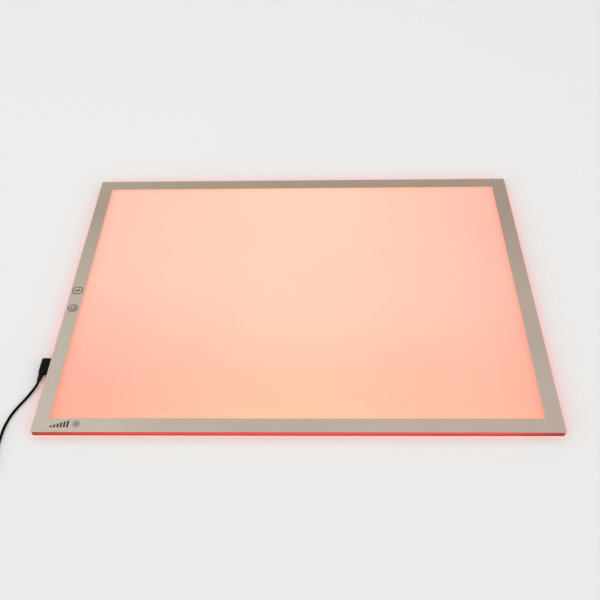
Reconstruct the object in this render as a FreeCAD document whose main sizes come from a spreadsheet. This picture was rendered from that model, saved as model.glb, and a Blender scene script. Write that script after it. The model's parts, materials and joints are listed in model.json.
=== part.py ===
import FreeCAD, Part
import math
import os

import Sketcher
from FreeCAD import Placement, Rotation, Vector

# Light box: a thin edge-lit drawing panel of A2 size with a pull-out power plug.
# Millimetres. X runs along the panel, Y away from the user, Z up from the table.
# The origin is the centre of the panel, on the table. The socket and the touch keys are at -X.

os.makedirs("parts", exist_ok=True)
doc = FreeCAD.newDocument("light_box")

DIMENSIONS = {
    # panel outline and borders of the lit window
    "panel_length": 655,
    "panel_depth": 475,
    "corner_radius": 2.5,
    "border_left": 19.7,
    "border_right": 21.7,
    "border_long": 19.7,
    # thicknesses from the table up
    "foot_height": 1,
    "cover_thickness": 0.8,
    "reflector_thickness": 0.5,
    "guide_thickness": 4.2,
    "diffuser_thickness": 0.5,
    "sheet_thickness": 1.85,
    "tape_thickness": 0.15,
    "bezel_thickness": 1,
    # the back lies inside the frame's outline, so the frame's underside glows on the table
    "cover_inset": 1.6,
    # side frame and its screw bosses
    "side_wall": 3,
    "inner_corner": 1,
    "boss_x": 319.6,
    "boss_y_outer": 205,
    "boss_y_inner": 70,
    "boss_radius": 2.8,
    "pilot_radius": 1,
    "pilot_depth": 5,
    # optical stack: how far each layer runs on under the bezel
    "sheet_overlap": 6.2,
    "diffuser_overlap": 4.2,
    "guide_overlap_x": 3.2,
    "guide_overlap_y": 8.2,
    "edge_tape": 0.8,
    "tape_setback": 1,
    # feet
    "foot_radius": 6,
    "foot_seat": 0.3,
    "foot_x": 300,
    "foot_y": 215,
    # cover screws
    "screw_head_radius": 1.7,
    "screw_head_height": 0.7,
    "screw_shank_radius": 0.95,
    "screw_length": 5,
    "screw_hole_radius": 1.1,
    "slot_length": 1.2,
    "slot_width": 0.35,
    # light-emitting bars
    "bar_x": 316,
    "bar_low_y": 226.8,
    "bar_width": 7.4,
    "spreader_thickness": 0.3,
    "bar_board_thickness": 0.6,
    "led_width": 4,
    "led_depth": 1.3,
    "led_height": 3,
    "led_count": 48,
    "led_span": 611,
    # control board in the left margin
    "board_left": -324,
    "board_right": -312.2,
    "board_front": -150,
    "board_rear": 14,
    "board_tape": 0.4,
    "board_thickness": 0.8,
    "chip_y": -98,
    "chip_pitch": 1.27,
    "choke_y": -112,
    "driver_x": -321,
    "driver_y": -56,
    "driver_pitch": 5,
    "capacitor_y": -143.5,
    "capacitor_pitch": 6,
    # flat leads to the light bars, in the free lane beside the bosses
    "lane_x": -314.2,
    "header_height": 2.2,
    "lead_width": 3.6,
    "lead_thickness": 0.9,
    # touch keys
    "key_x": -319.3,
    "key_mode_y": -1.7,
    "key_power_y": -35,
    "pad_width": 9.4,
    "pad_depth": 13,
    "pad_thickness": 0.2,
    "post_width": 5,
    # power socket and the metal end of its plug
    "socket_y": -128.5,
    "socket_z": 6.1,
    "socket_left": -324.4,
    "socket_length": 10,
    "socket_width": 6,
    "socket_height": 5.4,
    "nose_radius": 2.3,
    "nose_hole_radius": 2.4,
    "bore_radius": 1.8,
    "bore_end": -317.8,
    "pin_radius": 0.6,
    "barrel_radius": 1.75,
    "barrel_length": 9.5,
    "sleeve_radius": 1.3,
    "contact_radius": 1.05,
    "contact_bore_radius": 0.675,
    # plug body
    "plug_gap": 0.3,
    "plug_width": 12.2,
    "plug_front": -147.4,
    "plug_rear": -123.4,
    "plug_height": 7,
    "plug_corner": 1.4,
    "plug_edge": 0.9,
    "barrel_root": 3,
    # power lead and the coil it is put away in
    "cord_diameter": 3.3,
    "relief_length": 11.8,
    "relief_root_radius": 3.4,
    "relief_end_radius": 2.5,
    "coil_x": -392.4,
    "coil_y": -285,
    "coil_lift": 0.4,
    "coil_mean_radius": 19.8,
    "coil_columns": 5,
    "coil_rows": 2,
    "tie_width": 7,
    # plug at the far end of the lead
    "usb_x": -419.6,
    "usb_z": 3.9,
    "usb_body_width": 15.6,
    "usb_body_height": 7.8,
    "usb_body_front": -247,
    "usb_body_length": 26,
    "usb_shell_width": 12,
    "usb_shell_height": 4.5,
    "usb_shell_length": 12,
    "usb_shell_wall": 0.3,
    "usb_relief_length": 9,
    "usb_relief_root_radius": 3,
    "usb_relief_end_radius": 2.3,
    "usb_corner": 2,
    "usb_edge": 1.2,
}

sheet = doc.addObject("Spreadsheet::Sheet", "dims")
for row, (alias, size) in enumerate(DIMENSIONS.items(), start=1):
    sheet.set(f"A{row}", str(size))
    sheet.setAlias(f"A{row}", alias)
doc.recompute()


def number(expression):
    """The present value of an expression on the sheet."""
    return float(sheet.evalExpression(expression))


def about(centre, size):
    """A span of the given size, centred."""
    return f"({centre}) - ({size}) / 2", f"({centre}) + ({size}) / 2"


# Levels and edges that several pieces share
COVER_TOP = "(dims.foot_height + dims.cover_thickness)"
GUIDE_LOW = f"({COVER_TOP} + dims.reflector_thickness)"
GUIDE_TOP = f"({GUIDE_LOW} + dims.guide_thickness)"
SHEET_LOW = f"({GUIDE_TOP} + dims.diffuser_thickness)"
SHEET_TOP = f"({SHEET_LOW} + dims.sheet_thickness)"
FRAME_TOP = f"({SHEET_TOP} + dims.tape_thickness)"
HALF_LENGTH = "(dims.panel_length / 2)"
HALF_DEPTH = "(dims.panel_depth / 2)"
WINDOW_LEFT = f"(dims.border_left - {HALF_LENGTH})"
WINDOW_RIGHT = f"({HALF_LENGTH} - dims.border_right)"
WINDOW_FAR = f"({HALF_DEPTH} - dims.border_long)"
BAR_BOARD_LOW = f"({COVER_TOP} + dims.spreader_thickness)"
BAR_BOARD_TOP = f"({BAR_BOARD_LOW} + dims.bar_board_thickness)"
BOARD_LOW = f"({COVER_TOP} + dims.board_tape)"
BOARD_TOP = f"({BOARD_LOW} + dims.board_thickness)"
PLUG_FACE = f"(-{HALF_LENGTH} - dims.plug_gap)"
PLUG_LOW = "(dims.socket_z - dims.plug_height / 2)"
PLUG_SIDE = f"({PLUG_FACE} - dims.plug_width)"
COIL_OUTER = "(dims.coil_mean_radius + dims.coil_columns * dims.cord_diameter / 2)"
COIL_INNER = "(dims.coil_mean_radius - dims.coil_columns * dims.cord_diameter / 2)"
COIL_TOP = "(dims.coil_lift + dims.coil_rows * dims.cord_diameter)"

pieces = {}


def piece(node, item):
    """Names a finished sub-part, which is written under that name."""
    item.Label = node
    pieces[node] = item
    return item


# ---------------------------------------------------------------- primitives and booleans


def block(name, x, y, z):
    """A box between three spans of expressions."""
    box = doc.addObject("Part::Box", name)
    for size, axis, (low, high) in (("Length", "x", x), ("Width", "y", y), ("Height", "z", z)):
        box.setExpression(size, f"({high}) - ({low})")
        box.setExpression(f"Placement.Base.{axis}", low)
    return box


def rod(name, radius, x, y, z, top=None):
    """A cylinder along the axis whose place is given as a span, or a cone if it has a top radius."""
    item = doc.addObject("Part::Cone" if top else "Part::Cylinder", name)
    places = {"x": x, "y": y, "z": z}
    if isinstance(x, tuple):
        item.Placement = Placement(Vector(), Rotation(Vector(0, 1, 0), 90))
    if isinstance(y, tuple):
        item.Placement = Placement(Vector(), Rotation(Vector(1, 0, 0), -90))
    for axis, place in places.items():
        low = place[0] if isinstance(place, tuple) else place
        item.setExpression(f"Placement.Base.{axis}", low)
        if isinstance(place, tuple):
            item.setExpression("Height", f"({place[1]}) - ({place[0]})")
    item.setExpression("Radius1" if top else "Radius", radius)
    if top:
        item.setExpression("Radius2", top)
    return item


def union(name, items):
    item = doc.addObject("Part::MultiFuse", name)
    item.Shapes = items
    return item


def cut(name, base, tools):
    """The base without the tools."""
    item = doc.addObject("Part::Cut", name)
    item.Base = base
    item.Tool = tools[0] if len(tools) == 1 else union(f"{name}_tools", tools)
    return item


def group(name, items):
    """Separate solids that are handled as one piece."""
    item = doc.addObject("Part::Compound", name)
    item.Links = items
    return item


# ---------------------------------------------------------------- sketched bodies


def origin_item(body, role):
    return next(o for o in body.Origin.OriginFeatures if o.Role == role)


def sketch(body, role, name, offset="0"):
    """A sketch on one of the body's own origin planes, moved along its normal."""
    drawing = body.newObject("Sketcher::SketchObject", name)
    drawing.AttachmentSupport = [(origin_item(body, role), "")]
    drawing.MapMode = "FlatFace"
    drawing.setExpression("AttachmentOffset.Base.z", offset)
    return drawing


def bind(drawing, kind, name, expression, *where):
    """One dimension of a sketch, tied to the sheet."""
    dimension = Sketcher.Constraint(kind, *where, number(expression))
    dimension.Name = name
    drawing.addConstraint(dimension)
    drawing.setExpression(f"Constraints.{name}", expression)


def outline(drawing, corners, tag="p"):
    """A closed run of straight lines through corners given as pairs of expressions."""
    first = drawing.GeometryCount
    count = len(corners)
    spots = [Vector(number(x), number(y), 0) for x, y in corners]
    for k in range(count):
        drawing.addGeometry(Part.LineSegment(spots[k], spots[(k + 1) % count]), False)
    for k in range(count):
        following = first + (k + 1) % count
        drawing.addConstraint(Sketcher.Constraint("Coincident", first + k, 2, following, 1))
    for k, (x, y) in enumerate(corners):
        bind(drawing, "DistanceX", f"{tag}x{k}", x, -1, 1, first + k, 1)
        bind(drawing, "DistanceY", f"{tag}y{k}", y, -1, 1, first + k, 1)


def rounded(drawing, x, y, radius, tag):
    """A rectangle between two spans with equal round corners."""
    first = drawing.GeometryCount
    left, right = number(x[0]), number(x[1])
    low, high = number(y[0]), number(y[1])
    size = number(radius)
    sides = [
        ((left + size, low), (right - size, low)),
        ((right, low + size), (right, high - size)),
        ((right - size, high), (left + size, high)),
        ((left, high - size), (left, low + size)),
    ]
    centres = [
        (right - size, low + size),
        (right - size, high - size),
        (left + size, high - size),
        (left + size, low + size),
    ]
    for (start, end), centre, quarter in zip(sides, centres, (-1, 0, 1, 2)):
        drawing.addGeometry(Part.LineSegment(Vector(*start, 0), Vector(*end, 0)), False)
        circle = Part.Circle(Vector(*centre, 0), Vector(0, 0, 1), size)
        begin = quarter * math.pi / 2
        drawing.addGeometry(Part.ArcOfCircle(circle, begin, begin + math.pi / 2), False)
    for k in range(4):
        line, arc = first + 2 * k, first + 2 * k + 1
        following = first + (2 * k + 2) % 8
        drawing.addConstraint(Sketcher.Constraint("Tangent", line, 2, arc, 1))
        drawing.addConstraint(Sketcher.Constraint("Tangent", arc, 2, following, 1))
        drawing.addConstraint(Sketcher.Constraint("Vertical" if k % 2 else "Horizontal", line))
        if k:
            drawing.addConstraint(Sketcher.Constraint("Equal", first + 1, arc))
    bind(drawing, "Radius", f"{tag}radius", radius, first + 1)
    bind(drawing, "DistanceX", f"{tag}left", x[0], -1, 1, first + 6, 1)
    bind(drawing, "DistanceX", f"{tag}right", x[1], -1, 1, first + 2, 1)
    bind(drawing, "DistanceY", f"{tag}low", y[0], -1, 1, first, 1)
    bind(drawing, "DistanceY", f"{tag}high", y[1], -1, 1, first + 4, 1)


def ring(drawing, x, y, radius, tag):
    """A circle."""
    first = drawing.GeometryCount
    centre = Vector(number(x), number(y), 0)
    drawing.addGeometry(Part.Circle(centre, Vector(0, 0, 1), number(radius)), False)
    bind(drawing, "Radius", f"{tag}radius", radius, first)
    bind(drawing, "DistanceX", f"{tag}x", x, -1, 1, first, 3)
    bind(drawing, "DistanceY", f"{tag}y", y, -1, 1, first, 3)


def new_body(node):
    return piece(node, doc.addObject("PartDesign::Body", node))


def pad(body, drawing, length):
    item = body.newObject("PartDesign::Pad", f"{drawing.Name}_pad")
    item.Profile = drawing
    item.setExpression("Length", length)
    return item


def pocket(body, drawing, length):
    """Cuts along the sketch's normal."""
    item = body.newObject("PartDesign::Pocket", f"{drawing.Name}_pocket")
    item.Profile = drawing
    item.Reversed = True
    item.setExpression("Length", length)
    return item


def revolve(body, drawing):
    """Turns a half outline about the sketch's own horizontal axis."""
    item = body.newObject("PartDesign::Revolution", f"{drawing.Name}_turn")
    item.Profile = drawing
    item.ReferenceAxis = (drawing, ["H_Axis"])
    item.Angle = 360
    return item


def face_at(feature, axis, highest=True):
    """The name of a feature's outermost flat face along an axis."""
    faces = feature.Shape.Faces
    places = [getattr(face.CenterOfMass, axis) for face in faces]
    best = max(places) if highest else min(places)
    return f"Face{places.index(best) + 1}"


def break_edges(body, feature, names, size):
    """A small chamfer round the named faces."""
    item = body.newObject("PartDesign::Chamfer", f"{feature.Name}_edge")
    item.Base = (feature, names)
    item.setExpression("Size", size)
    return item


def round_edges(body, feature, names, radius):
    """A fillet round the named faces."""
    item = body.newObject("PartDesign::Fillet", f"{feature.Name}_round")
    item.Base = (feature, names)
    item.setExpression("Radius", radius)
    return item


# ---------------------------------------------------------------- the casing


def screw_places():
    """Centres of the cover screws, as expressions."""
    for side_x in (-1, 1):
        for row_y in ("dims.boss_y_outer", "dims.boss_y_inner"):
            for side_y in (-1, 1):
                yield f"({side_x} * dims.boss_x)", f"({side_y} * {row_y})"


def make_bezel():
    """The flat frame on top, with square window corners and broken outer edges."""
    body = new_body("bezel")
    drawing = sketch(body, "XY_Plane", "bezel_outline", FRAME_TOP)
    span_x = (f"-{HALF_LENGTH}", HALF_LENGTH)
    span_y = (f"-{HALF_DEPTH}", HALF_DEPTH)
    rounded(drawing, span_x, span_y, "dims.corner_radius", "rim")
    corners = [
        (WINDOW_LEFT, f"-{WINDOW_FAR}"),
        (WINDOW_RIGHT, f"-{WINDOW_FAR}"),
        (WINDOW_RIGHT, WINDOW_FAR),
        (WINDOW_LEFT, WINDOW_FAR),
    ]
    outline(drawing, corners, "window")
    plate = pad(body, drawing, "dims.bezel_thickness")
    doc.recompute()
    break_edges(body, plate, [face_at(plate, "z")], "0.3 * dims.bezel_thickness")


def make_side_frame():
    """The translucent rim: a wall all round, screw bosses in the side margins and the socket's hole."""
    body = new_body("side_frame")
    drawing = sketch(body, "XY_Plane", "wall_outline", COVER_TOP)
    span_x = (f"-{HALF_LENGTH}", HALF_LENGTH)
    span_y = (f"-{HALF_DEPTH}", HALF_DEPTH)
    rounded(drawing, span_x, span_y, "dims.corner_radius", "outer")
    inner_x = (f"dims.side_wall - {HALF_LENGTH}", f"{HALF_LENGTH} - dims.side_wall")
    inner_y = (f"dims.side_wall - {HALF_DEPTH}", f"{HALF_DEPTH} - dims.side_wall")
    rounded(drawing, inner_x, inner_y, "dims.inner_corner", "inner")
    height = f"{FRAME_TOP} - {COVER_TOP}"
    pad(body, drawing, height)
    for k, (x, y) in enumerate(screw_places()):
        side = -1 if number(x) < 0 else 1
        root = f"({side} * ({HALF_LENGTH} - dims.side_wall / 2))"
        web = sketch(body, "XY_Plane", f"web_{k}", COVER_TOP)
        low, high = about(y, "dims.boss_radius")
        outline(web, [(root, low), (x, low), (x, high), (root, high)])
        pad(body, web, height)
        boss = sketch(body, "XY_Plane", f"boss_{k}", COVER_TOP)
        ring(boss, x, y, "dims.boss_radius", "boss")
        pad(body, boss, height)
        pilot = sketch(body, "XY_Plane", f"pilot_{k}", COVER_TOP)
        ring(pilot, x, y, "dims.pilot_radius", "pilot")
        pocket(body, pilot, "dims.pilot_depth")
    hole = sketch(body, "YZ_Plane", "nose_hole", f"-{HALF_LENGTH} - 1")
    ring(hole, "dims.socket_y", "dims.socket_z", "dims.nose_hole_radius", "nose")
    pocket(body, hole, "dims.side_wall + 2")


def make_back_cover():
    """The flat back, with countersunk screw holes and shallow seats for the feet."""
    body = doc.addObject("PartDesign::Body", "cover_plate")
    drawing = sketch(body, "XY_Plane", "cover_outline", "dims.foot_height")
    span_x = (f"dims.cover_inset - {HALF_LENGTH}", f"{HALF_LENGTH} - dims.cover_inset")
    span_y = (f"dims.cover_inset - {HALF_DEPTH}", f"{HALF_DEPTH} - dims.cover_inset")
    rounded(drawing, span_x, span_y, "dims.inner_corner", "rim")
    plate = pad(body, drawing, "dims.cover_thickness")
    doc.recompute()
    break_edges(body, plate, [face_at(plate, "z", highest=False)], "0.4 * dims.cover_thickness")
    tools = []
    sink_top = "dims.foot_height + dims.screw_head_height"
    for k, (x, y) in enumerate(screw_places()):
        through = ("dims.foot_height - 1", f"{COVER_TOP} + 1")
        tools.append(rod(f"screw_hole_{k}", "dims.screw_hole_radius", x, y, through))
        sink = ("dims.foot_height", sink_top)
        wide = "dims.screw_head_radius + 0.1"
        tools.append(rod(f"sink_{k}", wide, x, y, sink, top="dims.screw_hole_radius"))
    for k, (x, y) in enumerate(foot_places()):
        seat = ("dims.foot_height - 1", "dims.foot_height + dims.foot_seat")
        tools.append(rod(f"seat_{k}", "dims.foot_radius + 0.1", x, y, seat))
    piece("back_cover", cut("drilled_cover", body, tools))


def make_cover_screws():
    """Eight countersunk screws with cross recesses."""
    screws = []
    low = "dims.foot_height"
    for k, (x, y) in enumerate(screw_places()):
        head_span = (low, f"{low} + dims.screw_head_height")
        head = rod(f"head_{k}", "dims.screw_head_radius", x, y, head_span, top="dims.screw_shank_radius")
        shank_span = (f"{low} + dims.screw_head_height / 2", f"{low} + dims.screw_length")
        shank = rod(f"shank_{k}", "dims.screw_shank_radius", x, y, shank_span)
        slot_depth = (f"{low} - 1", f"{low} + dims.screw_head_height / 2")
        slots = [
            block(f"slot_x_{k}", about(x, "dims.slot_length"), about(y, "dims.slot_width"), slot_depth),
            block(f"slot_y_{k}", about(x, "dims.slot_width"), about(y, "dims.slot_length"), slot_depth),
        ]
        screws.append(cut(f"screw_{k}", union(f"blank_{k}", [head, shank]), slots))
    piece("cover_screws", group("screw_set", screws))


def foot_places():
    """Centres of the six feet, as expressions."""
    for side_y in (-1, 1):
        for side_x in (-1, 0, 1):
            yield f"({side_x} * dims.foot_x)", f"({side_y} * dims.foot_y)"


def make_feet():
    """Rubber feet, tapered towards the table and seated in the back."""
    for k, (x, y) in enumerate(foot_places(), start=1):
        low_radius = "0.88 * dims.foot_radius"
        stub = rod(f"stub_{k}", low_radius, x, y, ("0", "dims.foot_height"), top="dims.foot_radius")
        top_span = ("dims.foot_height", "dims.foot_height + dims.foot_seat")
        top = rod(f"stub_top_{k}", "dims.foot_radius", x, y, top_span)
        piece(f"foot_{k}", union(f"rubber_foot_{k}", [stub, top]))


# ---------------------------------------------------------------- the optical stack


def slab(name, overlap, levels, overlap_y=None):
    """A flat sheet that runs on under the bezel all round."""
    x = (f"{WINDOW_LEFT} - {overlap}", f"{WINDOW_RIGHT} + {overlap}")
    far = f"({WINDOW_FAR} + {overlap_y or overlap})"
    return block(name, x, (f"-{far}", far), levels)


def make_optics():
    """Reflector, light guide, diffuser and window sheet, with the tapes that hold and close them."""
    wide = "dims.sheet_overlap"
    guide_x = "dims.guide_overlap_x"
    guide_y = "dims.guide_overlap_y"
    piece("window_sheet", slab("window_slab", wide, (SHEET_LOW, SHEET_TOP)))
    piece("diffuser_sheet", slab("diffuser_slab", "dims.diffuser_overlap", (GUIDE_TOP, SHEET_LOW)))
    piece("light_guide", slab("guide_slab", guide_x, (GUIDE_LOW, GUIDE_TOP), guide_y))
    piece("reflector_sheet", slab("reflector_slab", guide_x, (COVER_TOP, GUIDE_LOW), guide_y))
    edge_y = (f"-{WINDOW_FAR} - {guide_y}", f"{WINDOW_FAR} + {guide_y}")
    left = f"({WINDOW_LEFT} - {guide_x})"
    right = f"({WINDOW_RIGHT} + {guide_x})"
    spans = {"left": (f"{left} - dims.edge_tape", left), "right": (right, f"{right} + dims.edge_tape")}
    for side, span in spans.items():
        strip = block(f"edge_strip_{side}", span, edge_y, (GUIDE_LOW, GUIDE_TOP))
        piece(f"edge_reflector_{side}", strip)
    tape = slab("tape_outer", wide, (SHEET_TOP, FRAME_TOP))
    opening = slab("tape_opening", "dims.tape_setback", (f"{SHEET_TOP} - 1", f"{FRAME_TOP} + 1"))
    piece("bezel_tape", cut("tape_ring", tape, [opening]))


def make_light_bars():
    """One bar along each long side: metal strip, board and a row of side-firing colour emitters."""
    for side, name in ((-1, "front"), (1, "rear")):
        span_x = ("-dims.bar_x", "dims.bar_x")
        centre = f"({side} * (dims.bar_low_y + dims.bar_width / 2))"
        span_y = about(centre, "dims.bar_width")
        spreader = block(f"strip_{name}", span_x, span_y, (COVER_TOP, BAR_BOARD_LOW))
        piece(f"heat_spreader_{name}", spreader)
        board = block(f"bar_board_{name}", span_x, span_y, (BAR_BOARD_LOW, BAR_BOARD_TOP))
        piece(f"led_board_{name}", board)
        body = new_body(f"leds_{name}")
        drawing = sketch(body, "XY_Plane", f"emitter_{name}", BAR_BOARD_TOP)
        low = f"({side} * (dims.bar_low_y + 0.1))"
        high = f"({side} * (dims.bar_low_y + 0.1 + dims.led_depth))"
        left = "(-dims.led_span / 2 - dims.led_width / 2)"
        right = "(-dims.led_span / 2 + dims.led_width / 2)"
        outline(drawing, [(left, low), (right, low), (right, high), (left, high)])
        emitter = pad(body, drawing, "dims.led_height")
        row = body.newObject("PartDesign::LinearPattern", f"emitter_row_{name}")
        row.Originals = [emitter]
        row.Direction = (drawing, ["H_Axis"])
        row.setExpression("Length", "dims.led_span")
        row.setExpression("Occurrences", "dims.led_count")
        body.Tip = row


# ---------------------------------------------------------------- the electronics


def make_control_board():
    """The board in the left margin, notched round the power socket and the screw boss beside it."""
    span_x = ("dims.board_left", "dims.board_right")
    span_y = ("dims.board_front", "dims.board_rear")
    socket_notch = about("dims.socket_y", "dims.socket_width + 0.2")
    boss_notch = about("-dims.boss_y_inner", "2 * dims.boss_radius + 0.8")
    left = "dims.board_left - 1"
    socket_end = "dims.socket_left + dims.socket_length + 0.2"
    for node, low, high in (
        ("control_board", BOARD_LOW, BOARD_TOP),
        ("board_insulator", COVER_TOP, BOARD_LOW),
    ):
        tall = (f"{low} - 1", f"{high} + 1")
        notches = [
            block(f"{node}_socket_notch", (left, socket_end), socket_notch, tall),
            block(f"{node}_boss_notch", (left, "-dims.boss_x + 3.2"), boss_notch, tall),
        ]
        plate = block(f"{node}_plate", span_x, span_y, (low, high))
        piece(node, cut(f"{node}_notched", plate, notches))


def on_board(name, x, y, width, depth, height):
    """A part that stands on the control board, its centre given along and across it."""
    return block(name, about(x, width), about(y, depth), (BOARD_TOP, f"{BOARD_TOP} + {height}"))


def make_board_parts():
    """Controller, three colour drivers, choke, capacitors and the two lead headers."""
    middle = "(dims.board_left + dims.board_right) / 2"
    chip = on_board("chip_case", middle, "dims.chip_y", "3.9", "9.9", "1.5")
    legs = []
    for k in range(8):
        y = f"dims.chip_y + {k - 3.5} * dims.chip_pitch"
        legs.append(on_board(f"chip_leg_{k}", middle, y, "6", "0.4", "0.5"))
    piece("controller_chip", union("chip", [chip] + legs))
    drivers = []
    for k in range(3):
        y = f"dims.driver_y + {k} * dims.driver_pitch"
        drivers.append(on_board(f"driver_case_{k}", "dims.driver_x", y, "2.6", "2.9", "1.1"))
    piece("driver_transistors", group("driver_set", drivers))
    choke = on_board("choke_case", middle, "dims.choke_y", "6", "6", "3")
    core_span = (f"{BOARD_TOP} + 3", f"{BOARD_TOP} + 3.3")
    core = rod("choke_top", "2.4", middle, "dims.choke_y", core_span)
    piece("choke", union("choke_blank", [choke, core]))
    cans = []
    for k in range(2):
        y = f"dims.capacitor_y + {k} * dims.capacitor_pitch"
        base = on_board(f"can_base_{k}", middle, y, "4.3", "4.3", "0.6")
        can = rod(f"can_{k}", "2", middle, y, (f"{BOARD_TOP} + 0.6", f"{BOARD_TOP} + 4"))
        cans.append(union(f"capacitor_{k}", [base, can]))
    piece("capacitors", group("capacitor_set", cans))
    for name, y in (("front", "dims.board_front + 1.5"), ("rear", "dims.board_rear - 1.5")):
        header = on_board(f"header_{name}", "dims.lane_x", y, "4", "3", "dims.header_height")
        piece(f"led_header_{name}", header)


def make_touch_keys():
    """Under each key mark, a foil pad on the bezel's back and a conductive foam post on the board."""
    for key in ("mode", "power"):
        y = f"dims.key_{key}_y"
        pad_low = f"({FRAME_TOP} - dims.pad_thickness)"
        foil = block(
            f"foil_{key}",
            about("dims.key_x", "dims.pad_width"),
            about(y, "dims.pad_depth"),
            (pad_low, FRAME_TOP),
        )
        piece(f"touch_pad_{key}", foil)
        post_x = about("dims.key_x - 1", "dims.post_width")
        post = block(f"foam_{key}", post_x, about(y, "dims.post_width"), (BOARD_TOP, pad_low))
        piece(f"touch_post_{key}", post)


def make_socket():
    """The power inlet: moulded body with a round nose through the wall, centre pin and side spring."""
    y, z = "dims.socket_y", "dims.socket_z"
    right = "(dims.socket_left + dims.socket_length)"
    case = block(
        "socket_case",
        ("dims.socket_left", right),
        about(y, "dims.socket_width"),
        about(z, "dims.socket_height"),
    )
    nose = rod("socket_nose", "dims.nose_radius", (f"0.1 - {HALF_LENGTH}", "dims.socket_left + 1"), y, z)
    ears = block(
        "socket_ears",
        (f"{right} - 6", f"{right} - 2"),
        about(y, "dims.socket_width + 3"),
        (BOARD_TOP, f"{BOARD_TOP} + 0.8"),
    )
    bore = rod("socket_bore", "dims.bore_radius", (f"-{HALF_LENGTH} - 1", "dims.bore_end"), y, z)
    slot_y = (f"{y} + 1.5", f"{y} + 2.4")
    slot = block("spring_slot", ("dims.bore_end - 6", "dims.bore_end + 1.6"), slot_y, about(z, "1.6"))
    leg_x = ("dims.bore_end + 0.2", "dims.bore_end + 1.6")
    leg_slot = block("leg_slot", leg_x, slot_y, (BOARD_TOP, z))
    pin_hole = rod("pin_hole", "dims.pin_radius", ("dims.bore_end - 1", "dims.bore_end + 2"), y, z)
    tools = [bore, slot, leg_slot, pin_hole]
    piece("dc_socket", cut("socket", union("socket_blank", [case, nose, ears]), tools))
    pin_span = (f"1.2 - {HALF_LENGTH}", "dims.bore_end + 2")
    piece("socket_pin", rod("pin", "dims.pin_radius", pin_span, y, z))
    blade_y = (f"{y} + 1.85", f"{y} + 2.1")
    blade_x = ("dims.bore_end - 5.8", "dims.bore_end + 1.4")
    blade = block("spring_blade", blade_x, blade_y, about(z, "1.2"))
    leg_x = ("dims.bore_end + 0.4", "dims.bore_end + 1.4")
    leg = block("spring_leg", leg_x, blade_y, (BOARD_TOP, z))
    piece("socket_spring", union("spring", [blade, leg]))


# ---------------------------------------------------------------- the plug in the side


def make_plug():
    """Right-angle plug: a moulded body along the panel's side and a metal barrel into the socket."""
    y, z = "dims.socket_y", "dims.socket_z"
    body = new_body("plug_body")
    drawing = sketch(body, "XY_Plane", "plug_outline", PLUG_LOW)
    span_x, span_y = (PLUG_SIDE, PLUG_FACE), ("dims.plug_front", "dims.plug_rear")
    rounded(drawing, span_x, span_y, "dims.plug_corner", "plug")
    shell = pad(body, drawing, "dims.plug_height")
    doc.recompute()
    ends = [face_at(shell, "z"), face_at(shell, "z", highest=False)]
    round_edges(body, shell, ends, "dims.plug_edge")
    root = sketch(body, "YZ_Plane", "barrel_root_hole", f"{PLUG_FACE} - dims.barrel_root")
    ring(root, y, z, "dims.barrel_radius", "root")
    pocket(body, root, "dims.barrel_root + 1")

    span = (f"{PLUG_FACE} - dims.barrel_root", f"{PLUG_FACE} + dims.barrel_length")
    longer = (f"{span[0]} - 1", f"{span[1]} + 1")
    tubes = (
        ("plug_barrel", "dims.barrel_radius", "dims.sleeve_radius"),
        ("plug_insulator", "dims.sleeve_radius", "dims.contact_radius"),
        ("plug_inner_contact", "dims.contact_radius", "dims.contact_bore_radius"),
    )
    for node, outer, inner in tubes:
        solid = rod(f"{node}_outer", outer, span, y, z)
        core = rod(f"{node}_bore", inner, longer, y, z)
        piece(node, cut(f"{node}_tube", solid, [core]))


def relief_outline(drawing, length, root, end):
    """Half outline of a stepped, tapered sleeve, from its thick end at zero."""
    corners = [
        ("0", "0"),
        (length, "0"),
        (length, end),
        (f"0.56 * {length}", f"{end} + 0.22 * ({root} - {end})"),
        (f"0.5 * {length}", f"{end} + 0.66 * ({root} - {end})"),
        ("0", root),
    ]
    outline(drawing, corners)


# ---------------------------------------------------------------- the lead


def lead_route():
    """Corners of the lead from the plug's sleeve to the coil."""
    entry_x = number(f"dims.coil_x + {COIL_OUTER} - dims.cord_diameter / 2")
    entry_y = number("dims.coil_y")
    first_row = number("dims.coil_lift + dims.cord_diameter / 2")
    table = number("dims.cord_diameter / 2") + 0.02
    return [
        Vector(-337.9, -157.8, 4.75),
        Vector(-338.6, -163.2, 4.1),
        Vector(-341.4, -168.6, 3.2),
        Vector(-345.0, -176.2, 2.4),
        Vector(-349.6, -184.5, 1.85),
        Vector(-354.9, -194.0, table),
        Vector(-359.7, -203.3, table),
        Vector(-363.4, -214.5, table),
        Vector(-365.7, -227.5, table),
        Vector(-366.1, -240.5, table),
        Vector(-365.7, -254.5, table),
        Vector(-365.6, -270.0, table + 0.13),
        Vector(entry_x, entry_y, first_row),
    ]


def tail_route():
    """Corners of the lead from the coil's upper row to the far plug's sleeve."""
    exit_x = number(f"dims.coil_x - {COIL_OUTER} + dims.cord_diameter / 2")
    upper_row = number(f"{COIL_TOP} - dims.cord_diameter / 2")
    far_x, far_z = number("dims.usb_x"), number("dims.usb_z")
    far_y = number("dims.usb_body_front - dims.usb_relief_length")
    return [
        Vector(exit_x, number("dims.coil_y"), upper_row),
        Vector(exit_x - 0.3, number("dims.coil_y") + 14, upper_row - 0.9),
        Vector(far_x, far_y, far_z),
    ]


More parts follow.
